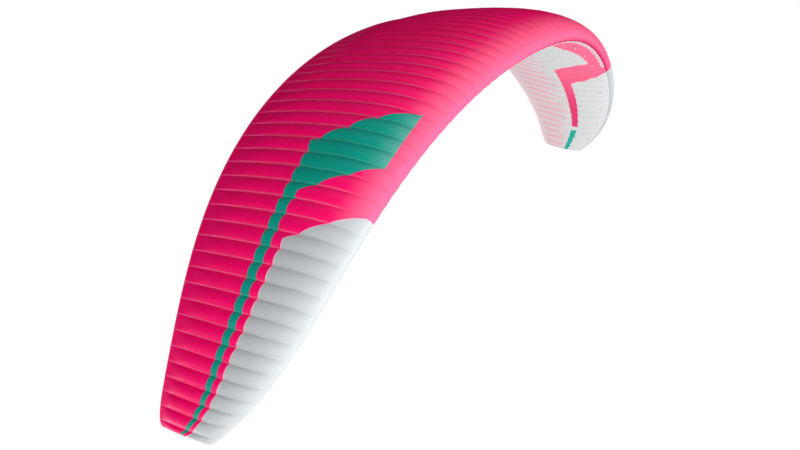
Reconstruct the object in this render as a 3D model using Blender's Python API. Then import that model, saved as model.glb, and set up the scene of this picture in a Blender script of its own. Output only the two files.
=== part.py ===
"""A paraglider canopy, inflated as in flight: 70 air-filled cells under an arched wing.

Z is up and the wing flies along -Y, so its left half lies at +X. The origin is on the lower
skin of the middle rib, at 30 % of its chord. Every size is in metres and every angle in radians.
"""
import math

import bpy
import numpy as np
from mathutils import Vector
from mathutils.geometry import tessellate_polygon

# Planform: half the flat span runs along the arch, from the middle rib out to a tip rib
HALF_SPAN = 5.9
ROOT_CHORD = 2.24
TIP_CHORD_SHARE = 0.26
CHORD_FULLNESS = 2.27
CHORD_ROUNDING = 0.716
CHORD_REFERENCE = 0.30
NOSE_SWEEP_TERMS = {2: 0.715, 4: -0.36, 8: 0.73}

# Arch: the roll of a rib, from the vertical, grows with the span fraction to these powers
ARCH_TERMS = {1: 0.712, 2: 0.928, 3: -0.61, 6: 0.147}

# Cells: they narrow from the middle to the tips, and the last one is half as wide again
HALF_CELLS = 35
CELL_NARROWING = 0.354
LAST_CELL_SHARE = 0.515

# Profile: a symmetric four-digit thickness law on a slightly cambered line
PROFILE_THICKNESS = 0.177
PROFILE_CAMBER = 0.007
CAMBER_CREST = 0.30

# Cloth: a cell's top bulges by this share of its width, and each skin is a thin sheet
CREST_SHARE = 0.11
SKIN = 0.002
RIB_PLATE = 0.002
GAP = 0.0003

# Rows on the skins, as the square root of the chord fraction, negative under the nose
UPPER_LIP_ROW = -0.10
LOWER_LIP_ROW = -0.20
UPPER_ROWS = (UPPER_LIP_ROW, 0.0, 0.12, 0.22, 0.33, 0.46, 0.60, 0.76)
LOWER_ROWS = (-0.78, -0.62, -0.46, -0.32)
RIB_ROWS = (-0.62, -0.32, -0.20, UPPER_LIP_ROW, 0.0, 0.12, 0.33, 0.60)

# Brake flaps: the rear of the cells bends down about a line in the upper skin
HINGE_CHORD = 0.82
BRAKE_TRAVEL = math.radians(30)
FLAP_FRONT_SLANT = BRAKE_TRAVEL + math.radians(1)
FLAP_CELLS = 3
FIRST_FLAP_CELL = 3
FLAPS_PER_SIDE = 8
FLAP_END_GAP = 0.005
FLAP_EDGE_GAP = 0.020
HINGE_CLEARANCE = 0.006
RIB_REAR_CLEARANCE = 0.008
FLAP_MIDDLE_CHORD = 0.92

# A spanwise band joins the ribs inside the wing
BAND_CHORD = 0.34
BAND_WIDTH = 0.030
BAND_DEPTH = 0.002
BAND_CORNERS = 4

# Sections of each half, from the middle outwards
# name, first cell, last cell, intakes open, fixed to the trailing edge
SECTIONS = (
    ("inner", 3, 8, True, False),
    ("middle", 9, 15, True, False),
    ("outer", 16, 20, False, False),
    ("far", 21, 26, False, False),
    ("tip", 27, 34, False, True),
)
CENTRE_CELLS = 3

# name: colour, roughness
CLOTHS = {
    "pink": ((0.62, 0.0, 0.10, 1.0), 0.55),
    "white": ((0.78, 0.79, 0.80, 1.0), 0.55),
    "rib_white": ((0.70, 0.70, 0.70, 1.0), 0.65),
}


def power_sum(terms, fraction):
    return sum(size * fraction**power for power, size in terms.items())


def rib_fractions():
    """Span fraction of each rib of one half, from the middle rib to the tip rib."""
    middles = (np.arange(HALF_CELLS) + 0.5) / HALF_CELLS
    widths = 1 - CELL_NARROWING * middles**2
    widths[-1] *= LAST_CELL_SHARE
    sums = np.concatenate([[0.0], np.cumsum(widths)])
    return sums / sums[-1]


RIB_FRACTIONS = rib_fractions()


def arch_tables():
    """Span fractions with the arch's X and Z there: the running sums of its roll's cosine and sine."""
    fraction = np.linspace(0, 1, 401)
    roll = power_sum(ARCH_TERMS, fraction)
    steps = np.diff(fraction) * HALF_SPAN
    out = np.cos(roll)
    down = np.sin(roll)
    x = np.concatenate([[0.0], np.cumsum((out[1:] + out[:-1]) / 2 * steps)])
    z = -np.concatenate([[0.0], np.cumsum((down[1:] + down[:-1]) / 2 * steps)])
    return fraction, x, z


ARCH = arch_tables()


def profile(row):
    """Chord fraction and height share at a row, which is the chord fraction's signed root."""
    root = np.abs(row)
    along = row**2
    half = 5 * PROFILE_THICKNESS * (
        0.2969 * root - 0.1260 * root**2 - 0.3516 * root**4 + 0.2843 * root**6 - 0.1036 * root**8
    )
    before = PROFILE_CAMBER * (2 * along / CAMBER_CREST - (along / CAMBER_CREST) ** 2)
    rest = 1 - CAMBER_CREST
    after = PROFILE_CAMBER * (1 - ((along - CAMBER_CREST) / rest) ** 2)
    line = np.where(along < CAMBER_CREST, before, after)
    return along, line + np.sign(row) * half


def profile_normal(row):
    """The profile's outward direction at a row, as chordwise and upward parts."""
    step = 1e-4
    ahead = profile(row + step)
    behind = profile(row - step)
    along = ahead[0] - behind[0]
    up = ahead[1] - behind[1]
    length = np.hypot(along, up)
    return -up / length, along / length


def chord_at(fraction):
    bend = np.maximum(1 - fraction**CHORD_FULLNESS, 0) ** CHORD_ROUNDING
    return ROOT_CHORD * (TIP_CHORD_SHARE + (1 - TIP_CHORD_SHARE) * bend)


def nose_at(fraction):
    """Y of the nose: the middle chord's reference point is at Y = 0."""
    return power_sum(NOSE_SWEEP_TERMS, fraction) - CHORD_REFERENCE * ROOT_CHORD


HANG_HEIGHT = -profile(-math.sqrt(CHORD_REFERENCE))[1] * ROOT_CHORD + GAP + SKIN


def span_fraction(station):
    """Span fraction of a station, which counts ribs: 2.5 is the middle of the third cell."""
    return np.interp(station, np.arange(HALF_CELLS + 1), RIB_FRACTIONS)


def place(station, along, up):
    """The point at a station, with metres behind the nose and above the chord. A negative one is to the right."""
    fraction = span_fraction(np.abs(station))
    roll = power_sum(ARCH_TERMS, fraction)
    x = np.interp(fraction, ARCH[0], ARCH[1]) + up * np.sin(roll)
    z = np.interp(fraction, ARCH[0], ARCH[2]) + up * np.cos(roll)
    side = np.where(station < 0, -1, 1)
    return np.stack([x * side, nose_at(fraction) + along, z + HANG_HEIGHT], -1)


def crest(station, row):
    """How far the cloth stands out between two ribs: most at mid-cell, less towards the rear, none below."""
    within = station - np.floor(station)
    cell = np.clip(np.floor(station).astype(int), 0, HALF_CELLS - 1)
    width = np.diff(RIB_FRACTIONS)[cell] * HALF_SPAN
    along = row**2
    fade = np.sqrt(np.clip(1 - along**4, 0, 1)) * (row > UPPER_LIP_ROW - 1e-6)
    return CREST_SHARE * width * 4 * within * (1 - within) * fade


def skin_point(station, row, lift):
    """The point on a skin at a station and row, this far outside the ribs' own outline."""
    station, row = np.broadcast_arrays(station, row)
    chord = chord_at(span_fraction(np.abs(station)))
    along, up = profile(row)
    back, rise = profile_normal(row)
    out = lift + crest(np.abs(station), row)
    return place(station, along * chord + back * out, up * chord + rise * out)


def drawn_in(grid, first, last):
    """The grid with its end columns moved in along their own facets, by metres that may differ by row."""
    grid = grid.copy()
    for end, beside, metres in ((0, 1, first), (-1, -2, last)):
        step = grid[beside] - grid[end]
        length = np.linalg.norm(step, axis=-1, keepdims=True)
        grid[end] += step / length * np.reshape(metres, (-1, 1))
    return grid


def row_at(along, station, below=False):
    """The row at a chord fraction moved by metres: (fraction, metres)."""
    fraction, metres = along
    root = np.sqrt(fraction + metres / chord_at(span_fraction(station)))
    return -root if below else root


def halves(grid, turned=0):
    """Two triangles for each quad of a grid of point numbers. The first columns are split the other way."""
    a, b, c, d = grid[:-1, :-1], grid[1:, :-1], grid[1:, 1:], grid[:-1, 1:]
    other = (np.arange(len(a)) < turned)[:, None, None]
    one = np.where(other, np.stack([a, b, d], -1), np.stack([a, b, c], -1))
    two = np.where(other, np.stack([b, c, d], -1), np.stack([a, c, d], -1))
    return np.concatenate([one.reshape(-1, 3), two.reshape(-1, 3)])


def mirrored(points, faces):
    return points * (-1, 1, 1), faces[:, ::-1]


def sheet_solid(outer, inner, turned=0):
    """Points and faces of a closed sheet between two grids, the first of them facing out."""
    columns, rows = outer.shape[:2]
    top = np.arange(columns * rows).reshape(columns, rows)
    under = top + columns * rows
    ring = np.concatenate([top[:-1, 0], top[-1, :-1], top[:0:-1, -1], top[0, :0:-1]])
    after = np.roll(ring, -1)
    drop = columns * rows
    rim = np.concatenate(
        [np.stack([after, ring, ring + drop], -1), np.stack([after, ring + drop, after + drop], -1)]
    )
    points = np.concatenate([outer.reshape(-1, 3), inner.reshape(-1, 3)])
    return points, np.concatenate([halves(top, turned), halves(under, turned)[:, ::-1], rim])


def loft_solid(rings):
    """Points and faces of a closed body through rings of points, with flat ends."""
    columns, count = rings.shape[:2]
    at = np.arange(columns * count).reshape(columns, count)
    wrapped = np.concatenate([at, at[:, :1]], axis=1)
    fan = np.array(tessellate_polygon([[Vector(p) for p in rings[0]]]))
    area = np.cross(rings[0][fan[:, 1]] - rings[0][fan[:, 0]], rings[0][fan[:, 2]] - rings[0][fan[:, 0]])
    outwards = rings[0].mean(axis=0) - rings[-1].mean(axis=0)
    turned = area @ outwards < 0
    fan[turned] = fan[turned][:, ::-1]
    faces = np.concatenate([halves(wrapped), at[0][fan], at[-1][fan][:, ::-1]])
    return rings.reshape(-1, 3), faces


def rib_outline(reaches_edge, station):
    """The rib's outline in its own plane, metres behind the nose and above the chord, lower rear first."""
    if reaches_edge:
        rear = row_at((1.0, -RIB_REAR_CLEARANCE), station)
    else:
        rear = row_at((HINGE_CHORD, -RIB_REAR_CLEARANCE), station)
    rows = np.array((-rear, *RIB_ROWS, rear))
    along, up = profile(rows)
    chord = chord_at(span_fraction(station))
    return np.stack([along, up], -1) * chord


def band_outline(station):
    chord = chord_at(span_fraction(station))
    middle = BAND_CHORD * chord
    half = BAND_WIDTH / 2
    low = -BAND_DEPTH / 2
    high = BAND_DEPTH / 2
    return np.array(
        [(middle + half, low), (middle - half, low), (middle - half, high), (middle + half, high)]
    )


def tube_walls(here, there):
    """Triangles between two closed loops of point numbers."""
    grid = np.stack([here, there])
    return halves(np.concatenate([grid, grid[:, :1]], axis=1))


def rib_side(outline, hole):
    """Triangles that fill an outline round a hole, turned as the outline runs."""
    loops = [outline] if hole is None else [outline, hole]
    fan = np.array(tessellate_polygon([[Vector((*p, 0)) for p in loop] for loop in loops]))
    flat = np.concatenate(loops)
    first, second, third = (flat[fan[:, n]] for n in range(3))
    edge, other = second - first, third - first
    turned = edge[:, 0] * other[:, 1] - edge[:, 1] * other[:, 0] > 0
    fan[turned] = fan[turned][:, ::-1]
    return fan


def rib_set(ribs, reaches_edge):
    """Ribs as thin plates, joined by the band that runs through them.

    Each plate has two sides, each filled round the band's hole, and a rim. The band's four walls
    join one plate's outer side to the next one's inner side.
    """
    points, faces = [], []
    total = 0
    band_before = None
    for number, rib in enumerate(ribs):
        cell_width = np.diff(RIB_FRACTIONS)[min(abs(rib), HALF_CELLS - 1)] * HALF_SPAN
        at_tip = rib == HALF_CELLS
        middle = rib - RIB_PLATE / 2 / cell_width if at_tip else rib
        starts = []
        for side, band_here in ((-1, number > 0), (1, number < len(ribs) - 1)):
            station = middle + side * RIB_PLATE / 2 / cell_width
            shaped_as = abs(rib) if at_tip else abs(station)
            outline = rib_outline(reaches_edge, shaped_as)
            hole = band_outline(shaped_as) if band_here else None
            flat = np.concatenate([outline, hole]) if band_here else outline
            fan = rib_side(outline, hole)
            faces.append((fan if side < 0 else fan[:, ::-1]) + total)
            points.append(place(np.full(len(flat), station), flat[:, 0], flat[:, 1]))
            starts.append(total)
            total += len(flat)
        faces.append(tube_walls(np.arange(len(outline)) + starts[0], np.arange(len(outline)) + starts[1]))
        if band_before is not None:
            faces.append(tube_walls(band_before, np.arange(BAND_CORNERS) + starts[0] + len(outline)))
        band_before = np.arange(BAND_CORNERS) + starts[1] + len(outline)
    return np.concatenate(points), np.concatenate(faces)


def columns_of(first, last, per_cell):
    """Stations of a section's columns, from its first cell's inner rib to its last cell's outer rib."""
    return np.linspace(first, last + 1, (last + 1 - first) * per_cell + 1)


def skin_grids(stations, rows, first_gap=GAP / 2, last_gap=GAP / 2):
    """The outer and inner surface of a skin, its ends half a gap inside the planes of the ribs there."""
    return [
        drawn_in(skin_point(stations[:, None], rows, lift), first_gap, last_gap)
        for lift in (GAP + SKIN, GAP)
    ]


def upper_rows(stations, fixed):
    """Rows of the upper skin by column, from under the nose back to the hinge or the trailing edge."""
    front = np.broadcast_to(np.array(UPPER_ROWS), (len(stations), len(UPPER_ROWS)))
    hinge = row_at((HINGE_CHORD, 0.0), stations)[:, None]
    if not fixed:
        return np.concatenate([front, hinge], axis=1)
    middle = np.full_like(hinge, math.sqrt(FLAP_MIDDLE_CHORD))
    edge = np.ones_like(hinge)
    return np.concatenate([front, hinge, middle, edge], axis=1)


def lower_rows(stations, fixed, intakes):
    """Rows of the lower skin by column, from its rear edge forward to the intake or the upper skin's lip."""
    chord = chord_at(span_fraction(stations))[:, None]
    if intakes:
        lip = np.full_like(chord, LOWER_LIP_ROW)
    else:
        lip = UPPER_LIP_ROW - GAP / (0.3 * chord)
    body = np.broadcast_to(np.array(LOWER_ROWS), (len(stations), len(LOWER_ROWS)))
    if not intakes:
        body = np.concatenate([body, np.full_like(chord, LOWER_LIP_ROW)], axis=1)
    if not fixed:
        rear = row_at((HINGE_CHORD, -HINGE_CLEARANCE), stations, below=True)[:, None]
        return np.concatenate([rear, body, lip], axis=1)
    edge = -np.ones_like(chord)
    hinge = row_at((HINGE_CHORD, 0.0), stations, below=True)[:, None]
    return np.concatenate([edge, hinge, body, lip], axis=1)


def flap_solid(number):
    """The rear of three cells as one closed body: a wedge with a slanted front below its hinge line."""
    first = FIRST_FLAP_CELL + FLAP_CELLS * number
    stations = columns_of(first, first + FLAP_CELLS - 1, 2)
    chord = chord_at(span_fraction(stations))
    depth = 2 * profile(math.sqrt(HINGE_CHORD))[1] * chord
    below_front = row_at((HINGE_CHORD, math.tan(FLAP_FRONT_SLANT) * depth), stations, below=True)
    above_front = row_at((HINGE_CHORD, GAP), stations)
    middle = np.full_like(chord, math.sqrt(FLAP_MIDDLE_CHORD))
    edge = np.ones_like(chord)
    rows = np.stack([-edge, -middle, below_front, above_front, middle, edge], -1)
    reach = (rows**2 - HINGE_CHORD) / (1 - HINGE_CHORD)
    inset = FLAP_END_GAP + (FLAP_EDGE_GAP - FLAP_END_GAP) * np.clip(reach, 0, 1)
    return loft_solid(drawn_in(skin_point(stations[:, None], rows, GAP + SKIN), inset[0], inset[-1]))


def hinge_ends(number):
    """The two ends of a left flap's hinge line, inner first: in the ribs' own outline, under the skin."""
    first = FIRST_FLAP_CELL + FLAP_CELLS * number
    root = math.sqrt(HINGE_CHORD)
    return skin_point(np.array([first, first + FLAP_CELLS], float), root, 0.0)


def cloth(name):
    material = bpy.data.materials.get(name)
    if material is None:
        colour, roughness = CLOTHS[name]
        material = bpy.data.materials.new(name)
        material.use_nodes = True
        shader = material.node_tree.nodes["Principled BSDF"]
        shader.inputs["Base Color"].default_value = colour
        shader.inputs["Roughness"].default_value = roughness
        material.diffuse_color = colour
    return material


def add_piece(name, shape, cloth_name, parent):
    """One named object from points and faces. Its origin is at its parent's."""
    points, faces = shape
    mesh = bpy.data.meshes.new(name)
    base = np.array(parent.location) if parent else np.zeros(3)
    mesh.from_pydata((points - base).tolist(), [], faces.tolist())
    mesh.update()
    mesh.materials.append(cloth(cloth_name))
    piece = bpy.data.objects.new(name, mesh)
    bpy.context.collection.objects.link(piece)
    piece.parent = parent
    return piece


def centre_skin(per_cell, rows_of):
    """A skin over the middle cells: the left half's grids, and their mirror image before them."""
    stations = columns_of(0, CENTRE_CELLS - 1, per_cell)
    grids = skin_grids(stations, rows_of(stations), first_gap=0.0)
    both = [np.concatenate([grid[:0:-1] * (-1, 1, 1), grid]) for grid in grids]
    return sheet_solid(*both, turned=len(stations) - 1)


def build_centre():
    upper = centre_skin(2, lambda stations: upper_rows(stations, True))
    lower = centre_skin(1, lambda stations: lower_rows(stations, True, True))
    ribs = rib_set(np.arange(-CENTRE_CELLS, CENTRE_CELLS + 1), True)
    add_piece("upper_skin_centre", upper, "pink", None)
    add_piece("lower_skin_centre", lower, "white", None)
    add_piece("ribs_centre", ribs, "rib_white", None)


def build_sections():
    for name, first, last, intakes, fixed in SECTIONS:
        upper = columns_of(first, last, 2)
        lower = columns_of(first, last, 1)
        last_gap = 0.0 if last == HALF_CELLS - 1 else GAP / 2
        upper_grids = skin_grids(upper, upper_rows(upper, fixed), last_gap=last_gap)
        lower_grids = skin_grids(lower, lower_rows(lower, fixed, intakes), last_gap=last_gap)
        for layer, shape, cloth_name in (
            ("upper_skin", sheet_solid(*upper_grids), "pink"),
            ("lower_skin", sheet_solid(*lower_grids), "white"),
            ("ribs", rib_set(np.arange(first + 1, last + 2), fixed), "rib_white"),
        ):
            add_piece(f"{layer}_left_{name}", shape, cloth_name, None)
            add_piece(f"{layer}_right_{name}", mirrored(*shape), cloth_name, None)


def build_flaps():
    for number in range(FLAPS_PER_SIDE):
        shape = flap_solid(number)
        ends = hinge_ends(number)
        for side, sign in (("left", 1), ("right", -1)):
            hinge = bpy.data.objects.new(f"hinge_{side}_{number + 1}", None)
            hinge.location = ends.mean(axis=0) * (sign, 1, 1)
            bpy.context.collection.objects.link(hinge)
            sided = shape if sign > 0 else mirrored(*shape)
            add_piece(f"brake_flap_{side}_{number + 1}", sided, "pink", hinge)


for old in list(bpy.data.objects):
    bpy.data.objects.remove(old, do_unlink=True)
build_centre()
build_sections()
build_flaps()
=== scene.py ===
import math

import bpy
import numpy as np
from mathutils import Matrix, Vector


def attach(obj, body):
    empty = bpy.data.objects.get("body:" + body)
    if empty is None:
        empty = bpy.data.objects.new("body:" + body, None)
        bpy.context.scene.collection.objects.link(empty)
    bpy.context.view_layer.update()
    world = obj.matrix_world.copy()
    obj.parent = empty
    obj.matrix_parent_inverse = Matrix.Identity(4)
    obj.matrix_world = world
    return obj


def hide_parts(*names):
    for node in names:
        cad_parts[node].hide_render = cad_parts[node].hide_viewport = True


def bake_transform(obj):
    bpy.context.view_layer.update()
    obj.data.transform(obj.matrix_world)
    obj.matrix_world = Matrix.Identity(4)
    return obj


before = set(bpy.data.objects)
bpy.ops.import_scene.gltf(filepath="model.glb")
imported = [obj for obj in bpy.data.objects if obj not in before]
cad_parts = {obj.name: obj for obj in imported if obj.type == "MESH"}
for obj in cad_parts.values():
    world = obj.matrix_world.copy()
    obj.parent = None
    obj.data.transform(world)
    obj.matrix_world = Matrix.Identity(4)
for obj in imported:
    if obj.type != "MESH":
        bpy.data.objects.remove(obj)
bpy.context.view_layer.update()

# Camera: it looks at the right half from the front and above, with a slight roll.
CAMERA_AZIMUTH = math.radians(-60.2)
CAMERA_ELEVATION = math.radians(22.79)
CAMERA_ROLL = math.radians(-0.45)
CAMERA_DISTANCE = 12.386
CAMERA_TARGET = Vector((-0.727, 0.751, -2.035))
CAMERA_LENS_MM = 45.54
CAMERA_SENSOR_MM = 36.0
CAMERA_REACH = 2000.0


def direction(azimuth, elevation):
    """The unit vector towards an azimuth, which counts from -Y towards +X, and an elevation."""
    flat = math.cos(elevation)
    return Vector((math.sin(azimuth) * flat, -math.cos(azimuth) * flat, math.sin(elevation)))


camera_data = bpy.data.cameras.new("camera")
camera_data.lens = CAMERA_LENS_MM
camera_data.sensor_width = CAMERA_SENSOR_MM
camera_data.clip_end = CAMERA_REACH
camera = bpy.data.objects.new("camera", camera_data)
bpy.context.collection.objects.link(camera)
bpy.context.scene.camera = camera
backward = direction(CAMERA_AZIMUTH, CAMERA_ELEVATION)
level = Vector((math.cos(CAMERA_AZIMUTH), math.sin(CAMERA_AZIMUTH), 0.0))
upright = backward.cross(level)
across = level * math.cos(CAMERA_ROLL) + upright * math.sin(CAMERA_ROLL)
above = upright * math.cos(CAMERA_ROLL) - level * math.sin(CAMERA_ROLL)
turn = Matrix((across, above, backward)).transposed().to_4x4()
camera.matrix_world = Matrix.Translation(CAMERA_TARGET + backward * CAMERA_DISTANCE) @ turn

# Ribs: walls of white cloth between the cells, sewn to both skins. They are the imported model's own
# plates, which show through the intakes, so only their finish is new. A painted glow, an emission, stands
# in for the light that comes through the skins.
RIB_WHITE = (0.72, 0.73, 0.74, 1.0)
RIB_ROUGHNESS = 0.62
RIB_THREAD_SHADE = 0.90
RIB_PAINTED_GLOW = (0.34, 0.28, 0.30, 1.0)
RIPSTOP_PITCH = 0.0055
RIPSTOP_LINE = 0.12
THREAD_HEIGHT = 0.0001


class Thread:
    """A value in a node tree. Arithmetic on it adds Math nodes, and node() adds any other."""

    def __init__(self, tree, socket):
        self.tree = tree
        self.socket = socket

    def node(self, kind, settings, sockets, output=0):
        """A node of this kind: its settings first, then its sockets' values or links."""
        made = self.tree.nodes.new(kind)
        for name, value in settings.items():
            if name == "curve_points":
                made.mapping.use_clip = False
                points = made.mapping.curves[0].points
                while len(points) < len(value):
                    points.new(0.5, 0.5)
                for point, place in zip(points, value):
                    point.location = place
                    point.handle_type = "VECTOR"
                made.mapping.update()
            else:
                setattr(made, name, value)
        for name, value in sockets.items():
            if isinstance(value, Thread):
                self.tree.links.new(value.socket, made.inputs[name])
            else:
                made.inputs[name].default_value = value
        return Thread(self.tree, made.outputs[output])

    def math(self, operation, *values):
        """A Math node on this value, and on any others."""
        return self.node("ShaderNodeMath", {"operation": operation}, dict(enumerate((self, *values))))

    def __add__(self, other):
        return self.math("ADD", other)

    __radd__ = __add__

    def __sub__(self, other):
        return self.math("SUBTRACT", other)

    def __rsub__(self, other):
        return self * -1.0 + other

    def __mul__(self, other):
        return self.math("MULTIPLY", other)

    __rmul__ = __mul__

    def __truediv__(self, other):
        return self.math("DIVIDE", other)

    def __abs__(self):
        return self.math("ABSOLUTE")

    def parts(self, count):
        """The first of a vector's numbers, this many."""
        return [self.node("ShaderNodeSeparateXYZ", {}, {0: self}, output=n) for n in range(count)]

    def step(self, start, end):
        """0 at start, 1 at end, and straight between them."""
        sockets = {"Value": self, "From Min": start, "From Max": end}
        return self.node("ShaderNodeMapRange", {}, sockets)

    def soft_step(self, start, end):
        """0 at start, 1 at end, and rounded off between them."""
        sockets = {"Value": self, "From Min": start, "From Max": end}
        return self.node("ShaderNodeMapRange", {"interpolation_type": "SMOOTHSTEP"}, sockets)

    def within_pitch(self, pitch):
        """Distance to the nearest of the lines this far apart, as a share of the pitch: 0 to 0.5."""
        return abs((self / pitch).math("FRACT") - 0.5) * -1.0 + 0.5

    def curve(self, points, span):
        """A polyline over this value, which runs from 0 to span."""
        scaled = [(x / span, y) for x, y in points]
        return self.node("ShaderNodeFloatCurve", {"curve_points": scaled}, {"Value": self / span})

    def paint(self, under, over):
        """The colour over laid on the colour under by this mask."""
        settings = {"data_type": "RGBA", "blend_type": "MIX"}
        return self.node("ShaderNodeMix", settings, {0: self, 6: under, 7: over}, output=2)

    def shade(self, colour):
        """The colour times this value, which is 1 where nothing changes."""
        black = (0.0, 0.0, 0.0, 1.0)
        return self.paint(black, colour)


def new_material(name, roughness, gloss=0.5):
    """A Principled material: (material, its shader, a Thread that adds the first nodes)."""
    material = bpy.data.materials.new(name)
    material.use_nodes = True
    tree = material.node_tree
    shader = tree.nodes["Principled BSDF"]
    shader.inputs["Roughness"].default_value = roughness
    shader.inputs["Specular IOR Level"].default_value = gloss
    return material, shader, Thread(tree, None)


def connect(start, shader, colour, height, depth):
    """Puts a colour and a height in metres, through a bump this deep, on the shader."""
    start.tree.links.new(colour.socket, shader.inputs["Base Color"])
    bump = start.node("ShaderNodeBump", {}, {"Height": height, "Distance": depth, "Strength": 1.0})
    start.tree.links.new(bump.socket, shader.inputs["Normal"])


def object_axes(start):
    """X, Y and Z of a point of the piece, in metres."""
    return start.node("ShaderNodeTexCoord", {}, {}, output=3).parts(3)


def ripstop(u, v):
    """Mask of the thicker threads: a square net of thin lines, 1 on a thread."""
    lines = [x.within_pitch(RIPSTOP_PITCH).step(RIPSTOP_LINE, 0.0) for x in (u, v)]
    return lines[0].math("MAXIMUM", lines[1])


rib_material, rib_shader, rib_start = new_material("rib_cloth", RIB_ROUGHNESS)
_, rib_y, rib_z = object_axes(rib_start)
rib_threads = ripstop(rib_y, rib_z)
rib_colour = (1 - rib_threads * (1 - RIB_THREAD_SHADE)).shade(RIB_WHITE)
connect(rib_start, rib_shader, rib_colour, rib_threads, THREAD_HEIGHT)
# Painted glow: an emission that stands in for light coming through the skins.
rib_shader.inputs["Emission Color"].default_value = RIB_PAINTED_GLOW
rib_shader.inputs["Emission Strength"].default_value = 1.0
for name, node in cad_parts.items():
    if name.startswith("ribs_"):
        node.data.materials.clear()
        node.data.materials.append(rib_material)


# Upper cloth: nylon sailcloth cut to one panel a cell and sewn to the ribs, which the air swells out
# between them. It wraps round the nose to the upper lip and reaches back to the trailing edge.
# A piece covers the cells of one brake segment, of which there are 8 a side, or the middle, or a tip.
HALF_SPAN = 5.9
ROOT_CHORD = 2.24
TIP_CHORD_SHARE = 0.26
CHORD_FULLNESS = 2.27
CHORD_ROUNDING = 0.716
CHORD_REFERENCE = 0.30
NOSE_SWEEP_TERMS = {2: 0.715, 4: -0.36, 8: 0.73}
ARCH_TERMS = {1: 0.712, 2: 0.928, 3: -0.61, 6: 0.147}
ARCH_POINTS = 401
HALF_CELLS = 35
CELL_NARROWING = 0.354
LAST_CELL_SHARE = 0.515
PROFILE_THICKNESS = 0.177
PROFILE_TERMS = {1: 0.2969, 2: -0.1260, 4: -0.3516, 6: 0.2843, 8: -0.1036}
PROFILE_CAMBER = 0.007
CAMBER_CREST = 0.30
HANG_GAP = 0.0023
SKIN_LIFT = 0.0003
CLOTH = 0.0010
UPPER_LIP_ROW = -0.168
UPPER_SWELL = 0.21
NOSE_SWELL = 0.020
LOWER_SWELL = 0.065
SWELL_POWER = 2.5
FULL_SWELL_ROW = 0.60
REAR_SWELL_END = 0.74
PUCKER = 0.0014
PUCKER_PITCH = 0.13
PUCKER_REACH = 0.030
PUCKER_SEAM_GAP = 0.0075
PUCKER_CELL_TURN = 2.4
PUCKER_DRIFT = 1.3
PUCKER_DRIFT_RATE = 3.1
PUCKER_NOSE_RISE = 6
PUCKER_REAR_RISE = 4
COLUMNS_PER_CELL = 14
SEAM_CROWDING = 0.06
NOSE_ROWS = 50
BACK_ROWS = 76
NOSE_ROWS_END = 0.45
CENTRE_CELLS = 3
SEGMENT_CELLS = 3
SEGMENTS = 8
TIP_FIRST_CELL = CENTRE_CELLS + SEGMENT_CELLS * SEGMENTS
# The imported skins: name, and first and last brake segment. Segment 5 lies in two of them
PACKED_SECTIONS = (("inner", 1, 2), ("middle", 3, 5), ("outer", 5, 6), ("far", 7, 8))
HINGE_CHORD = 0.82
HINGE_RISE = 0.04
BEND_LENGTH = 0.28
# Where the cloth's bend would start, in metres behind the hinge line, by rib: bend_with_flap works out
# this line, but nothing bends the cloth. The line lies further back towards the middle and the tip,
# where the trailing edge would stay up.
BEND_STARTS = ((3, 0.41), (12, -0.03), (21, -0.03), (27, 0.255))


def power_sum(terms, fraction):
    """The sum of each term's size times the fraction to its power."""
    return sum(size * fraction**power for power, size in terms.items())


def rib_fractions():
    """Span fraction of each rib of one half.

    Cell widths shrink with the square of the span, and the last cell is narrower still.
    """
    middles = (np.arange(HALF_CELLS) + 0.5) / HALF_CELLS
    widths = 1 - CELL_NARROWING * middles**2
    widths[-1] *= LAST_CELL_SHARE
    sums = np.concatenate([[0.0], np.cumsum(widths)])
    return sums / sums[-1]


def arch_tables():
    """Span fractions with the arch's X and Z there: the running sums of its roll's cosine and sine."""
    fraction = np.linspace(0, 1, ARCH_POINTS)
    roll = power_sum(ARCH_TERMS, fraction)
    steps = np.diff(fraction) * HALF_SPAN
    out, down = np.cos(roll), np.sin(roll)
    x = np.concatenate([[0.0], np.cumsum((out[1:] + out[:-1]) / 2 * steps)])
    z = -np.concatenate([[0.0], np.cumsum((down[1:] + down[:-1]) / 2 * steps)])
    return fraction, x, z


RIB_FRACTIONS = rib_fractions()
CELL_WIDTHS = np.diff(RIB_FRACTIONS) * HALF_SPAN
ARCH = arch_tables()


def profile(row):
    """Chord fraction and height share at a row, the chord fraction's root, negative underneath.

    The height is the camber, two parabolas that meet at its crest, and half the thickness, which is
    five times its share times a sum of powers of the root.
    """
    along = row**2
    half = 5 * PROFILE_THICKNESS * power_sum(PROFILE_TERMS, np.abs(row))
    before = PROFILE_CAMBER * (2 * along / CAMBER_CREST - (along / CAMBER_CREST) ** 2)
    after = PROFILE_CAMBER * (1 - ((along - CAMBER_CREST) / (1 - CAMBER_CREST)) ** 2)
    return along, np.where(along < CAMBER_CREST, before, after) + np.sign(row) * half


def profile_normal(row):
    """The profile's outward direction at a row, as chordwise and upward parts."""
    step = 1e-4
    ahead, behind = profile(row + step), profile(row - step)
    along, up = ahead[0] - behind[0], ahead[1] - behind[1]
    length = np.hypot(along, up)
    return -up / length, along / length


def span_fraction(station):
    """Span fraction of a station, which counts ribs: 2.5 is the middle of the third cell."""
    return np.interp(np.abs(station), np.arange(HALF_CELLS + 1), RIB_FRACTIONS)


def chord_at(station):
    """Chord: the tip's share, and the rest times (1 - s^fullness)^rounding at span fraction s."""
    bend = np.maximum(1 - span_fraction(station) ** CHORD_FULLNESS, 0) ** CHORD_ROUNDING
    return ROOT_CHORD * (TIP_CHORD_SHARE + (1 - TIP_CHORD_SHARE) * bend)


def nose_at(station):
    """Y of the nose: a sum of powers of the span fraction, which sweeps back towards the tip."""
    return power_sum(NOSE_SWEEP_TERMS, span_fraction(station)) - CHORD_REFERENCE * ROOT_CHORD


HANG_HEIGHT = -profile(-math.sqrt(CHORD_REFERENCE))[1] * ROOT_CHORD + HANG_GAP


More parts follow.
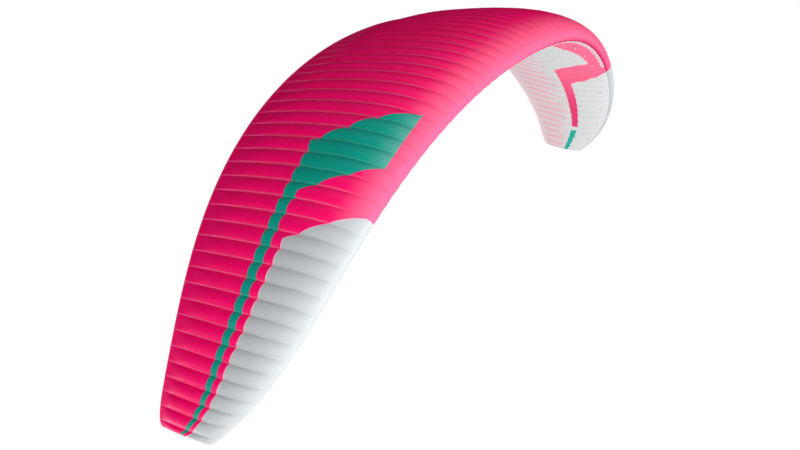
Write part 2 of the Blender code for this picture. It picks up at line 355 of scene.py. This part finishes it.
def place(station, along, up):
    """The point at a station, metres behind the nose and above the chord. Stations below 0 are right."""
    fraction = span_fraction(station)
    roll = power_sum(ARCH_TERMS, fraction)
    x = np.interp(fraction, ARCH[0], ARCH[1]) + up * np.sin(roll)
    z = np.interp(fraction, ARCH[0], ARCH[2]) + up * np.cos(roll)
    return np.stack([x * np.where(station < 0, -1, 1), nose_at(station) + along, z + HANG_HEIGHT], -1)


def smooth(value):
    """0 below 0, 1 above 1, and rounded off between them."""
    value = np.clip(value, 0, 1)
    return value * value * (3 - 2 * value)


def cell_and_place(station):
    """The cell that a station lies in, and how far across it, from 0 to 1."""
    station = np.abs(station)
    cell = np.clip(np.floor(station).astype(int), 0, HALF_CELLS - 1)
    return cell, station - cell


def swell(station, row):
    """How far the cloth stands out between two ribs.

    Across the cell it is the depth times 1 - |2w - 1|^p, with w from 0 to 1 between the ribs, and the
    depth is a share of the cell's width: small at the nose, full behind it, none at the trailing edge.
    """
    cell, within = cell_and_place(station)
    behind = np.where(row > 0, UPPER_SWELL, LOWER_SWELL)
    share = NOSE_SWELL + (behind - NOSE_SWELL) * smooth(np.abs(row) / FULL_SWELL_ROW)
    share = share * (1 - smooth((row**2 - REAR_SWELL_END) / (1 - REAR_SWELL_END)))
    return CELL_WIDTHS[cell] * share * (1 - np.abs(2 * within - 1) ** SWELL_POWER)


def puckers(station, row):
    """Small gathers that run out from the seams.

    They are a sine along the chord, whose phase turns from cell to cell and drifts within one. It
    grows from nothing at the seam, fades across the cell, and dies out at the nose and the rear edge.
    """
    cell, within = cell_and_place(station)
    from_seam = np.minimum(within, 1 - within) * CELL_WIDTHS[cell]
    metres = row**2 * chord_at(station)
    drift = PUCKER_DRIFT * np.sin(PUCKER_DRIFT_RATE * metres + cell)
    wave = np.sin(2 * np.pi * metres / PUCKER_PITCH + PUCKER_CELL_TURN * cell + drift)
    fade = np.exp(-from_seam / PUCKER_REACH) * (1 - np.exp(-from_seam / PUCKER_SEAM_GAP))
    ends = smooth(PUCKER_REAR_RISE * (1 - row**2)) * smooth(PUCKER_NOSE_RISE * row**2)
    return PUCKER * wave * fade * ends


def skin(station, row, lift):
    """The point on the cloth at a station and row, this far outside the ribs' own outline."""
    station, row = np.broadcast_arrays(station, row)
    chord = chord_at(station)
    along, up = profile(row)
    back, rise = profile_normal(row)
    out = lift + swell(station, row) + puckers(station, row)
    return place(station, along * chord + back * out, up * chord + rise * out)


def columns_of(first, last, per_cell):
    """Stations of a piece's columns, closer together near the seams."""
    even = np.linspace(0, 1, per_cell + 1)[:-1]
    eased = even - SEAM_CROWDING * np.sin(2 * np.pi * even)
    inside = (np.arange(first, last)[:, None] + eased).ravel()
    return np.append(inside, last)


def put_mesh(name, points, quads, material):
    """A smooth mesh object from points and rows of four point numbers."""
    mesh = bpy.data.meshes.new(name)
    mesh.vertices.add(len(points))
    mesh.vertices.foreach_set("co", points.astype(np.float32).ravel())
    mesh.loops.add(quads.size)
    mesh.loops.foreach_set("vertex_index", quads.astype(np.int32).ravel())
    mesh.polygons.add(len(quads))
    mesh.polygons.foreach_set("loop_start", np.arange(0, quads.size, 4, dtype=np.int32))
    mesh.update(calc_edges=True)
    mesh.polygons.foreach_set("use_smooth", np.ones(len(quads), bool))
    mesh.materials.append(material)
    piece = bpy.data.objects.new(name, mesh)
    bpy.context.collection.objects.link(piece)
    return piece


def set_uv(mesh, name, pairs):
    """A UV map from one pair of numbers a point."""
    corner_points = np.empty(len(mesh.loops), np.int32)
    mesh.loops.foreach_get("vertex_index", corner_points)
    layer = mesh.uv_layers.new(name=name)
    layer.uv.foreach_set("vector", pairs[corner_points].astype(np.float32).ravel())


def crease(mesh, columns, lines, on_rib):
    """Marks as sharp the edges that run along a rib's seam, and those of the piece's front and back."""
    ends = np.empty(len(mesh.edges) * 2, np.int32)
    mesh.edges.foreach_get("vertices", ends)
    layer, point = np.divmod(ends.reshape(-1, 2), columns * lines)
    column, line = np.divmod(point, lines)
    on_seam = (column[:, 0] == column[:, 1]) & on_rib[column[:, 0]]
    on_lip = (line[:, 0] == line[:, 1]) & np.isin(line[:, 0], (0, lines - 1))
    sharp = (layer[:, 0] == layer[:, 1]) & (on_seam | on_lip)
    mesh.attributes.new("sharp_edge", "BOOLEAN", "EDGE").data.foreach_set("value", sharp)


def sheet_piece(name, stations, rows, material):
    """A cloth piece: an outer and an inner grid over stations and rows, joined round their rim.

    rows holds a row of the profile for each column and line of the grid. The UV map panel gives
    the station and the signed chord fraction, and weave gives metres along the span and the chord.
    """
    columns, lines = rows.shape
    station = np.broadcast_to(stations[:, None], rows.shape)
    outer = skin(station, rows, SKIN_LIFT + 2 * CLOTH)
    inner = skin(station, rows, SKIN_LIFT + CLOTH)
    count = columns * lines
    top = np.arange(count).reshape(columns, lines)
    ring = np.concatenate([top[:-1, 0], top[-1, :-1], top[:0:-1, -1], top[0, :0:-1]])
    after = np.roll(ring, -1)
    quads = np.stack([top[:-1, :-1], top[1:, :-1], top[1:, 1:], top[:-1, 1:]], -1).reshape(-1, 4)
    rim = np.stack([after, ring, ring + count, after + count], -1)
    points = np.concatenate([outer.reshape(-1, 3), inner.reshape(-1, 3)])
    piece = put_mesh(name, points, np.concatenate([quads, quads[:, ::-1] + count, rim]), material)
    crease(piece.data, columns, lines, np.isclose(stations, np.round(stations)))
    signed = np.sign(rows) * rows**2
    panel = np.stack([np.abs(station), signed], -1).reshape(-1, 2)
    metres = np.stack([span_fraction(station) * HALF_SPAN, signed * chord_at(station)], -1)
    set_uv(piece.data, "panel", np.tile(panel, (2, 1)))
    set_uv(piece.data, "weave", np.tile(metres.reshape(-1, 2), (2, 1)))
    return piece


def bend_with_flap(piece, side, number):
    """Bakes a brake segment's piece in place, and works out where its cloth would bend down with its
    flap.

    The bend would start on a line that BEND_STARTS gives behind the hinge at the segment's two ribs,
    and be complete BEND_LENGTH further back. Start and end are two points across that strip; nothing
    uses them, so the cloth does not bend.
    """
    sign = 1 if side == "left" else -1
    first = CENTRE_CELLS + SEGMENT_CELLS * (number - 1)
    ribs = np.array([first, first + SEGMENT_CELLS], float)
    behind = np.interp(ribs, *zip(*BEND_STARTS))
    chords = chord_at(ribs)
    line = place(ribs, HINGE_CHORD * chords + behind, HINGE_RISE * chords) * (sign, 1, 1)
    across = (line[1] - line[0]) * (1, 0, 1)
    slope = (line[1, 1] - line[0, 1]) / (across @ across)
    steepest = (np.array([0.0, 1.0, 0.0]) - slope * across) / BEND_LENGTH
    start = line[0]
    end = start + steepest / (steepest @ steepest)
    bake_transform(piece)


def stands_for(layer, part, side, number):
    """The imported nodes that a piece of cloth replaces. An upper segment replaces its brake flap too."""
    if number == 0:
        return [f"{layer}_skin_{part}"]
    sections = [name for name, first, last in PACKED_SECTIONS if first <= number <= last]
    flaps = [f"brake_flap_{side}_{number}"] if layer == "upper" else []
    return [f"{layer}_skin_{side}_{name}" for name in sections] + flaps


def span_of(side, first, last):
    """The stations that a piece runs between, from the lower one: the right half counts below zero."""
    return (first, last) if side == "left" else (-last, -first)


def wing_parts():
    """Each part of the wing: its name, side, number, which is 0 off the brake segments, and stations."""
    yield "centre", "left", 0, (-CENTRE_CELLS, CENTRE_CELLS)
    for side in ("left", "right"):
        for number in range(1, SEGMENTS + 1):
            first = CENTRE_CELLS + SEGMENT_CELLS * (number - 1)
            yield f"{side}_{number}", side, number, span_of(side, first, first + SEGMENT_CELLS)
        yield f"{side}_tip", side, 0, span_of(side, TIP_FIRST_CELL, HALF_CELLS)


def cover_wing(label, make, layer=None):
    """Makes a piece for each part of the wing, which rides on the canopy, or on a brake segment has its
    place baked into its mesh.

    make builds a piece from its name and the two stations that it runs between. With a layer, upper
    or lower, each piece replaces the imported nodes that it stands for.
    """
    for part, side, number, stations in wing_parts():
        piece = make(f"{label}_{part}", *stations)
        if number == 0:
            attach(piece, "canopy")
        else:
            bend_with_flap(piece, side, number)
        if layer:
            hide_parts(*stands_for(layer, part, side, number))


# The upper cloth's colours. Panels are cut and sewn so that a teal flash crosses cells 12 to 18 and
# runs on to the tip as a stripe, and a white field covers the nose of the outer half. Each border is a
# line of (station, chord fraction) corners. A painted highlight pales the nose where light falls on it,
# and another runs along the tip side of each seam; painted shade darkens the nose towards the upper lip.
PINK = (0.97, 0.0, 0.142, 1.0)
TEAL = (0.0, 0.315, 0.24, 1.0)
WHITE = (0.475, 0.495, 0.51, 1.0)
HEM_PINK = (0.95, 0.62, 0.74, 1.0)
WHITE_FIELD_REAR = (
    (0, -1.0), (18.8, -1.0), (18.9, 0.0), (20, 0.165), (21, 0.292), (21.45, 0.358), (29, 0.358),
    (32.3, 0.32), (33.5, 0.33), (34.2, 0.36), (35, 0.45),
)
FLASH_REAR = (
    (0, 0.0), (11.9, 0.075), (13, 0.26), (14, 0.37), (15.3, 0.515), (16, 0.502), (29, 0.497),
    (32, 0.452), (33.3, 0.456), (34, 0.482), (35, 0.57),
)
FLASH_FRONT = (
    (0, 0.078), (11.9, 0.078), (16, 0.069), (17, 0.205), (18, 0.34), (18.6, 0.42), (19.5, 0.43),
    (29, 0.43), (32, 0.388), (33.3, 0.387), (34, 0.42), (35, 0.52),
)
BORDER_BLUR = 0.0010
BORDER_HEM = 0.0035
SEAM_HALF = 0.012
SEAM_SHADE = 0.94
STITCH_PITCH = 0.005
STITCH_START = 0.15
STITCH_FULL = 0.30
STITCH_WIDTH = 0.004
STITCH_RISE = 2.0
THREAD_SHADE = 0.985
SEAM_HIGHLIGHT_WIDTH = 0.065
SEAM_HIGHLIGHT_SHARE = 0.42
SEAM_HIGHLIGHT_FADE_START = 0.22
SEAM_HIGHLIGHT_FADE_END = 0.06
SEAM_HIGHLIGHT_PINK = (1.0, 0.25, 0.50, 1.0)
SEAM_HIGHLIGHT_TEAL = (0.08, 0.66, 0.52, 1.0)
CLOTH_ROUGHNESS = 0.50
CLOTH_GLOSS = 0.26
NOSE_HIGHLIGHT_START = 0.19
NOSE_HIGHLIGHT_FULL = 0.015
NOSE_HIGHLIGHT_SHARE = 0.11
PALE = (1.0, 1.0, 1.0, 1.0)
LIP_SHADED_PINK = (0.36, 0.0, 0.07, 1.0)
LIP_SHADED_WHITE = (0.32, 0.345, 0.37, 1.0)
LIP_SHADE_START = 0.004


def uv_axes(start, uv_map):
    """The two numbers of a UV map."""
    return start.node("ShaderNodeUVMap", {"uv_map": uv_map}, {}).parts(2)


def in_field(along, front, rear):
    """Mask of the cloth between two borders."""
    behind_front, before_rear = along - front, rear - along
    return behind_front.step(-BORDER_BLUR, BORDER_BLUR) * before_rear.step(-BORDER_BLUR, BORDER_BLUR)


def cloth_relief(start, station):
    """The net of thicker threads, and the seams with their rows of stitches: (threads, seam, height)."""
    span_metres, chord_metres = uv_axes(start, "weave")
    threads = ripstop(span_metres, chord_metres)
    from_seam = station.within_pitch(1.0)
    seam = from_seam.soft_step(SEAM_HALF, 0.0)
    dashes = chord_metres.within_pitch(STITCH_PITCH).soft_step(STITCH_START, STITCH_FULL)
    stitches = abs(from_seam - 2 * SEAM_HALF).step(STITCH_WIDTH, 0.0) * dashes
    return threads, seam, threads + stitches * STITCH_RISE - seam


upper_material, upper_shader, upper_start = new_material("upper_cloth", CLOTH_ROUGHNESS, CLOTH_GLOSS)
station, along = uv_axes(upper_start, "panel")
white_rear = station.curve(WHITE_FIELD_REAR, HALF_CELLS)
in_white = in_field(along, -1.0, white_rear)
in_teal = in_field(along, station.curve(FLASH_FRONT, HALF_CELLS), station.curve(FLASH_REAR, HALF_CELLS))
on_border = abs(along - white_rear - BORDER_HEM).step(BORDER_HEM, BORDER_HEM / 2)
threads, _, height = cloth_relief(upper_start, station)
colour = in_teal.paint(PINK, TEAL)
# Painted highlight: the nose is paler where the light falls on it.
colour = (along.soft_step(NOSE_HIGHLIGHT_START, NOSE_HIGHLIGHT_FULL) * NOSE_HIGHLIGHT_SHARE).paint(colour, PALE)
# Painted shade: the underside of the nose darkens towards the upper lip, on the pink and on the white
# field.
lip_shade = along.soft_step(LIP_SHADE_START, -(UPPER_LIP_ROW**2))
colour = in_white.paint(lip_shade.paint(colour, LIP_SHADED_PINK), lip_shade.paint(WHITE, LIP_SHADED_WHITE))
colour = on_border.paint(colour, HEM_PINK)
colour = (1 - threads * (1 - THREAD_SHADE)).shade(colour)
# Painted highlight along the tip side of each seam, fading out towards the nose and left off the white
# field.
seam_highlight = station.math("FRACT").soft_step(1.0 - 1.5 * SEAM_HIGHLIGHT_WIDTH, 1.0 - SEAM_HIGHLIGHT_WIDTH / 2)
seam_highlight = seam_highlight * along.soft_step(SEAM_HIGHLIGHT_FADE_END, SEAM_HIGHLIGHT_FADE_START) * (1 - in_white) * SEAM_HIGHLIGHT_SHARE
colour = seam_highlight.paint(colour, in_teal.paint(SEAM_HIGHLIGHT_PINK, SEAM_HIGHLIGHT_TEAL))
connect(upper_start, upper_shader, colour, height, THREAD_HEIGHT)

# Its rows lie evenly round the nose, and behind it evenly along the chord
nose_rows = np.linspace(UPPER_LIP_ROW, NOSE_ROWS_END, NOSE_ROWS, endpoint=False)
back_rows = np.sqrt(np.linspace(NOSE_ROWS_END**2, 1, BACK_ROWS))
UPPER_ROWS = np.concatenate([nose_rows, back_rows])


def upper_piece(name, first, last):
    """The upper cloth between two stations: the same rows in every column."""
    stations = columns_of(first, last, COLUMNS_PER_CELL)
    return sheet_piece(name, stations, np.tile(UPPER_ROWS, (len(stations), 1)), upper_material)


cover_wing("upper_cloth", upper_piece, layer="upper")


# Lower cloth: the same sailcloth in white, from the trailing edge forward to the lower lip of the
# intakes, or to the upper cloth where the nose is closed. Light that comes through the wing is painted
# into its rear as a pink tint, with brighter pink bars between the seams. A pink band follows the
# intakes and turns into a stripe, which is teal near the tip.
INTAKE_CELLS = 18
LOWER_LIP_ROW = -0.205
LIP_SCALLOP = 0.004
LIP_TUCK = 0.0008
LOWER_COLUMNS_PER_CELL = 10
LOWER_ROWS = 76
LOWER_WHITE = (0.49, 0.495, 0.50, 1.0)
SHINE_THROUGH_TINT = (0.55, 0.45, 0.47, 1.0)
SHINE_THROUGH_BAR = (0.565, 0.30, 0.345, 1.0)
LOWER_PINK = (0.76, 0.105, 0.205, 1.0)
STRIPE_PINK = (0.59, 0.02, 0.115, 1.0)
TINT_START = 0.40
TINT_FULL = 0.72
TINT_STATIONS = (4.0, 22.0)
BAR_SHARE = 0.65
BAR_WIDTHS = (0.10, 0.34)
BAR_START = 0.52
BAR_FULL = 0.62
BAR_END = 0.97
BAR_FADE = 0.86
BAR_STATIONS = (8.0, 22.0)
BAR_BEAT = 5.1
BAR_UNEVENNESS = 0.09
BAND_REAR = (
    (0, 0.20), (11.2, 0.19), (12.4, 0.16), (14, 0.133), (16.4, 0.12), (17.4, 0.278), (18.9, 0.445),
    (26, 0.457), (30, 0.44), (34.3, 0.46), (35, 0.50),
)
BAND_FRONT = (
    (0, 0.0455), (17.9, 0.0455), (18.1, 0.0), (18.9, 0.0), (19.4, 0.076), (20.5, 0.21), (21.5, 0.356),
    (27.7, 0.363), (30, 0.353), (34, 0.363), (35, 0.39),
)
BAND_STEP = 0.010
DEEPER_STATIONS = (17.0, 28.0)
PINK_STRIPE_END = 30.0
TEAL_STRIPE_START = 30.6
STRIPE_BLUR = 0.01

lower_material, lower_shader, lower_start = new_material("lower_cloth", CLOTH_ROUGHNESS, CLOTH_GLOSS)
station, along = uv_axes(lower_start, "panel")
along = along * -1.0
stepped = (station.math("FRACT") - 0.5) * BAND_STEP + along
in_band = in_field(stepped, station.curve(BAND_FRONT, HALF_CELLS), station.curve(BAND_REAR, HALF_CELLS))
# Painted light: the pink upper cloth shining through the rear of the lower cloth, brighter in bars
# between the seams.
shine_through = along.soft_step(TINT_START, TINT_FULL) * station.soft_step(*TINT_STATIONS)
uneven = (station * BAR_BEAT).math("SINE") * BAR_UNEVENNESS + along
shine_through_bars = station.within_pitch(1.0).soft_step(*BAR_WIDTHS) * uneven.soft_step(BAR_START, BAR_FULL)
shine_through_bars = shine_through_bars * along.soft_step(BAR_END, BAR_FADE) * station.soft_step(*BAR_STATIONS)
threads, seam, height = cloth_relief(lower_start, station)
colour = (shine_through_bars * BAR_SHARE).paint(shine_through.paint(LOWER_WHITE, SHINE_THROUGH_TINT), SHINE_THROUGH_BAR)
pink_part = in_band * station.step(PINK_STRIPE_END, PINK_STRIPE_END - STRIPE_BLUR)
teal_part = in_band * station.step(TEAL_STRIPE_START, TEAL_STRIPE_START + STRIPE_BLUR)
stripe_pink = station.soft_step(*DEEPER_STATIONS).paint(LOWER_PINK, STRIPE_PINK)
colour = teal_part.paint(pink_part.paint(colour, stripe_pink), TEAL)
colour = ((1 - seam * (1 - SEAM_SHADE)) * (1 - threads * (1 - THREAD_SHADE))).shade(colour)
connect(lower_start, lower_shader, colour, height, THREAD_HEIGHT)


def lip_row(station):
    """Row of the lower cloth's front edge.

    At an intake it dips by a parabola of the place w across the cell, the scallop times 4w(1 - w).
    Beyond the intakes it is tucked against the upper lip.
    """
    within = np.abs(station) % 1
    open_row = LOWER_LIP_ROW - LIP_SCALLOP * 4 * within * (1 - within)
    return np.where(np.abs(station) < INTAKE_CELLS, open_row, UPPER_LIP_ROW - LIP_TUCK)


def lower_piece(name, first, last):
    """The lower cloth between two stations: rows spaced evenly from the rear edge to its lip."""
    stations = columns_of(first, last, LOWER_COLUMNS_PER_CELL)
    share = np.linspace(0, 1, LOWER_ROWS)
    rows = -1 + share * (lip_row(stations)[:, None] + 1)
    return sheet_piece(name, stations, rows, lower_material)


cover_wing("lower_cloth", lower_piece, layer="lower")


# Lip beads: the edges of the intakes' two lips are folded over a thin cord that keeps them round, and
# sewn down. Each bead runs along its lip over all the open cells.
BEAD_RADIUS = 0.0024
BEAD_SIDES = 8
BEAD_COLUMNS_PER_CELL = 8
BEAD_PALE = (0.60, 0.485, 0.53, 1.0)
BEAD_ROUGHNESS = 0.55
BEAD_GLOSS = 0.35
BEAD_TWIST_PITCH = 0.006
BEAD_TWIST_EDGE = 0.3
BEAD_TWIST_SHADE = 0.88
BEAD_TWIST_DEPTH = 0.0003


def ring_quads(number):
    """The quads between each ring of point numbers and the next. The last axis runs round a ring."""
    ahead = np.roll(number, -1, axis=-1)
    corners = [number[..., :-1, :], ahead[..., :-1, :], ahead[..., 1:, :], number[..., 1:, :]]
    return np.stack(corners, -1).reshape(-1, 4)


def tube_mesh(name, path, radius, sides, material):
    """A closed tube along a path that runs across the wing.

    Each ring lies square to the path: its two axes are the path's direction crossed with the flight
    axis, and the path's direction crossed with that.
    """
    forward = np.gradient(path, axis=0)
    forward /= np.linalg.norm(forward, axis=-1, keepdims=True)
    first = np.cross(forward, (0.0, 1.0, 0.0))
    first /= np.linalg.norm(first, axis=-1, keepdims=True)
    second = np.cross(forward, first)
    angle = np.linspace(0, 2 * np.pi, sides, endpoint=False)
    rings = path[:, None] + radius * (
        first[:, None] * np.cos(angle)[:, None] + second[:, None] * np.sin(angle)[:, None]
    )
    number = np.arange(len(path) * sides).reshape(len(path), sides)
    k = np.arange(sides // 2 - 1)
    cap = np.stack([k, k + 1, sides - 2 - k, sides - 1 - k], -1)
    quads = np.concatenate([ring_quads(number), number[-1][cap], number[0][::-1][cap]])
    return put_mesh(name, rings.reshape(-1, 3), quads, material)


bead_material, bead_shader, bead_start = new_material("lip_bead", BEAD_ROUGHNESS, BEAD_GLOSS)
bead_x, bead_y, bead_z = object_axes(bead_start)
twist = (bead_x + bead_y + bead_z).within_pitch(BEAD_TWIST_PITCH).soft_step(0.0, BEAD_TWIST_EDGE)
bead_colour = (twist * (1 - BEAD_TWIST_SHADE) + BEAD_TWIST_SHADE).shade(BEAD_PALE)
connect(bead_start, bead_shader, bead_colour, twist, BEAD_TWIST_DEPTH)
bead_stations = columns_of(-INTAKE_CELLS, INTAKE_CELLS, BEAD_COLUMNS_PER_CELL)[1:-1]
lip_rows = {"upper": np.full(len(bead_stations), UPPER_LIP_ROW), "lower": lip_row(bead_stations)}
for name, rows in lip_rows.items():
    path = skin(bead_stations, rows, SKIN_LIFT + 1.5 * CLOTH)
    bead = tube_mesh(f"lip_bead_{name}", path, BEAD_RADIUS, BEAD_SIDES, bead_material)
    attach(bead, "canopy")


# Trailing edge tape: a tape, pink above and pale below, folded over the joined rear edges of both skins
# and sewn through. It is cut at every third rib, as the skins are.
TAPE_WIDTH = 0.013
TAPE_LIFT = 0.0012
TAPE_PINK = (0.95, 0.03, 0.18, 1.0)
TAPE_PALE = (0.84, 0.50, 0.58, 1.0)
TAPE_ROUGHNESS = 0.6
TAPE_GLOSS = 0.3
TAPE_FOLD = 0.05
TAPE_RIB_PITCH = 0.0016
TAPE_RIB_EDGE = (0.1, 0.4)
TAPE_RIB_DARKENING = 0.06
# Its two rows of stitches: place across the tape, edges of a row there, pitch, and ends of a stitch
TAPE_STITCH_PLACE = 0.6
TAPE_STITCH_HALF = (0.10, 0.04)
TAPE_STITCH_PITCH = 0.004
TAPE_STITCH_START = (0.12, 0.2)
TAPE_STITCH_DARKENING = 0.12

tape_material, tape_shader, tape_start = new_material("edge_tape", TAPE_ROUGHNESS, TAPE_GLOSS)
tape_metres, tape_across = uv_axes(tape_start, "weave")
tape_rib = tape_metres.within_pitch(TAPE_RIB_PITCH).soft_step(*TAPE_RIB_EDGE)
tape_dashes = tape_metres.within_pitch(TAPE_STITCH_PITCH).soft_step(*TAPE_STITCH_START)
tape_stitch = abs(abs(tape_across) - TAPE_STITCH_PLACE).step(*TAPE_STITCH_HALF) * tape_dashes
tape_sides = tape_across.step(-TAPE_FOLD, TAPE_FOLD).paint(TAPE_PALE, TAPE_PINK)
tape_shade = (1 - tape_rib * TAPE_RIB_DARKENING) * (1 - tape_stitch * TAPE_STITCH_DARKENING)
tape_height = tape_rib + tape_stitch * STITCH_RISE
connect(tape_start, tape_shader, tape_shade.shade(tape_sides), tape_height, THREAD_HEIGHT)


def tape_piece(name, first, last):
    """A tape round the rear edge: a closed ring of eight points at each station.

    The ring goes back along the upper cloth for a tape's width, round the edge and forward along the
    lower cloth, and returns just inside. Its UV map gives metres along the span, and the place across
    the tape from -1 to 1.
    """
    stations = columns_of(first, last, COLUMNS_PER_CELL)
    front = np.sqrt(1 - TAPE_WIDTH / chord_at(stations))
    middle = np.sqrt(1 - TAPE_WIDTH / 2 / chord_at(stations))
    edge = np.ones_like(front)
    inside = SKIN_LIFT + 2 * CLOTH
    outer_rows = (front, middle, edge, -edge, -middle, -front)
    ring = [skin(stations, row, inside + TAPE_LIFT) for row in outer_rows]
    ring += [skin(stations, row, inside) for row in (-front, front)]
    points = np.stack(ring, 1)
    points[:, 2:4] += (0.0, TAPE_LIFT, 0.0)
    number = np.arange(points.shape[0] * 8).reshape(-1, 8)
    cap = np.array([[0, 1, 4, 5], [1, 2, 3, 4], [0, 5, 6, 7]])
    quads = [ring_quads(number)[:, [0, 3, 2, 1]], number[0][cap], number[-1][cap[:, ::-1]]]
    piece = put_mesh(name, points.reshape(-1, 3), np.concatenate(quads), tape_material)
    metres = span_fraction(stations) * HALF_SPAN
    across = np.array([1.0, 0.5, 0.0, 0.0, -0.5, -1.0, -1.0, 1.0])
    pairs = np.stack(np.broadcast_arrays(metres[:, None], across[None, :]), -1).reshape(-1, 2)
    set_uv(piece.data, "weave", pairs)
    return piece


cover_wing("edge_tape", tape_piece)


# Line tabs: short loops of narrow polyester webbing sewn into the lower seams at every third rib, in
# three rows across the wing. The load hangs from them.
TAB_RIBS = np.arange(2, 35, 3)
TAB_CHORDS = (0.10, 0.33, 0.57)
TAB_WIDTH = 0.011
TAB_LENGTH = 0.030
TAB_SINK = 0.004
TAB_SPREAD = 0.0088
TAB_ROUNDNESS = 0.7
TAB_THICK = 0.0013
TAB_POINTS = 17
TAB_WHITE = (0.54, 0.545, 0.55, 1.0)
TAB_ROUGHNESS = 0.7
TAB_GLOSS = 0.3
TAB_WEAVE_PITCH = 0.0011
TAB_WEAVE_EDGE = (0.1, 0.4)
TAB_DARK = 0.8
TAB_BRIGHT = 1.2

tab_material, tab_shader, tab_start = new_material("line_tab", TAB_ROUGHNESS, TAB_GLOSS)
_, tab_y, tab_z = object_axes(tab_start)
tab_weave = (tab_y + tab_z).within_pitch(TAB_WEAVE_PITCH).soft_step(*TAB_WEAVE_EDGE)
tab_colour = (tab_weave * (TAB_BRIGHT - TAB_DARK) + TAB_DARK).shade(TAB_WHITE)
connect(tab_start, tab_shader, tab_colour, tab_weave, THREAD_HEIGHT)


def tab_row(name, side, chord_fraction):
    """A row of loops: a teardrop path down from the seam and back, swept along the chord.

    At a turn t, 0 to 1 round the loop, the half width is the spread times cos(pi t) times sin(pi t) to
    the power of the roundness. The depth is the length times sin(pi t), less what sinks into the seam.
    """
    sign = 1 if side == "left" else -1
    ribs = TAB_RIBS.astype(float)
    row = np.full(len(ribs), -math.sqrt(chord_fraction))
    seam = skin(ribs, row, 0.0)
    roll = power_sum(ARCH_TERMS, span_fraction(ribs))
    zero = np.zeros_like(roll)
    out = np.stack([np.cos(roll), zero, -np.sin(roll)], -1)
    down = np.stack([-np.sin(roll), zero, -np.cos(roll)], -1)
    turn = np.linspace(0, 1, TAB_POINTS)
    depth = TAB_LENGTH * np.sin(np.pi * turn) - TAB_SINK
    half = TAB_SPREAD * np.cos(np.pi * turn) * np.sin(np.pi * turn) ** TAB_ROUNDNESS
    centre_line = np.stack([half, depth], -1)
    along = np.gradient(centre_line, axis=0)
    side_way = np.stack([-along[:, 1], along[:, 0]], -1)
    side_way /= np.linalg.norm(side_way, axis=-1, keepdims=True)
    outer, inner = centre_line + side_way * TAB_THICK / 2, centre_line - side_way * TAB_THICK / 2
    section = np.stack([outer, outer, inner, inner], 1)
    chordwise = np.array([-0.5, 0.5, 0.5, -0.5]) * TAB_WIDTH
    points = (
        seam[:, None, None]
        + out[:, None, None] * section[None, :, :, :1]
        + down[:, None, None] * section[None, :, :, 1:]
        + np.array([0.0, 1.0, 0.0]) * chordwise[None, None, :, None]
    )
    points = points * (sign, 1, 1)
    number = np.arange(len(ribs) * TAB_POINTS * 4).reshape(len(ribs), TAB_POINTS, 4)
    quads = np.concatenate([ring_quads(number), number[:, 0, ::-1], number[:, -1]])
    if side == "right":
        quads = quads[:, ::-1]
    piece = put_mesh(name, points.reshape(-1, 3), quads, tab_material)
    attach(piece, "canopy")


for side in ("left", "right"):
    for letter, chord_fraction in zip("abc", TAB_CHORDS):
        tab_row(f"line_tabs_{side}_{letter}", side, chord_fraction)


# Studio: a white floor far below the flying canopy that glows like a light table, a sky that is white
# to the camera and dim to the canopy, and large soft lamps: two to the right, one of them low, one
# above, two that face the nose and one behind.
FLOOR_Z = -30.0
FLOOR_HALF = 600.0
FLOOR_GREY = (0.30, 0.30, 0.30, 1.0)
FLOOR_GLOW = (1.0, 1.0, 1.0, 1.0)
FLOOR_ROUGHNESS = 0.9
SKY_WHITE = (1.0, 1.0, 1.0, 1.0)
SKY_STRENGTH = 0.02
# Lamps: name, azimuth and elevation in degrees, distance, side of the square, watts, and if it glints
LAMPS = (
    ("right", -75.0, 5.0, 14.0, 6.0, 620.0, True),
    ("right_low", -140.0, -45.0, 14.0, 8.0, 1030.0, True),
    ("high", -60.0, 85.0, 16.0, 10.0, 630.0, True),
    ("front", -10.0, 20.0, 18.0, 10.0, 2330.0, False),
    ("front_low", -10.0, -5.0, 18.0, 10.0, 1790.0, False),
    ("back", 172.0, 0.0, 18.0, 10.0, 450.0, False),
)
LAMP_TARGET = Vector((0.0, 0.4, -1.2))

floor_mesh = bpy.data.meshes.new("floor")
corners = [(x * FLOOR_HALF, y * FLOOR_HALF, FLOOR_Z) for x, y in ((-1, -1), (1, -1), (1, 1), (-1, 1))]
floor_mesh.from_pydata(corners, [], [(0, 1, 2, 3)])
floor_material, floor_shader, _ = new_material("floor", FLOOR_ROUGHNESS)
floor_shader.inputs["Base Color"].default_value = FLOOR_GREY
floor_shader.inputs["Emission Color"].default_value = FLOOR_GLOW
floor_shader.inputs["Emission Strength"].default_value = 1.0
floor_mesh.materials.append(floor_material)
floor = bpy.data.objects.new("floor", floor_mesh)
bpy.context.collection.objects.link(floor)
floor.visible_glossy = False

for name, azimuth, elevation, distance, side, watts, glints in LAMPS:
    data = bpy.data.lights.new(f"lamp_{name}", "AREA")
    data.shape = "SQUARE"
    data.size = side
    data.energy = watts
    lamp = bpy.data.objects.new(f"lamp_{name}", data)
    bpy.context.collection.objects.link(lamp)
    lamp.visible_camera = False
    lamp.visible_glossy = glints
    towards = direction(math.radians(azimuth), math.radians(elevation))
    lamp.location = LAMP_TARGET + towards * distance
    lamp.rotation_euler = towards.to_track_quat("Z", "Y").to_euler()

world = bpy.data.worlds.new("studio")
bpy.context.scene.world = world
world.use_nodes = True
sky = world.node_tree.nodes["Background"]
sky.inputs["Color"].default_value = SKY_WHITE
seen_by_camera = Thread(world.node_tree, None).node("ShaderNodeLightPath", {}, {})
brightness = seen_by_camera * (1.0 - SKY_STRENGTH) + SKY_STRENGTH
world.node_tree.links.new(brightness.socket, sky.inputs["Strength"])
bpy.context.scene.view_settings.view_transform = "Standard"
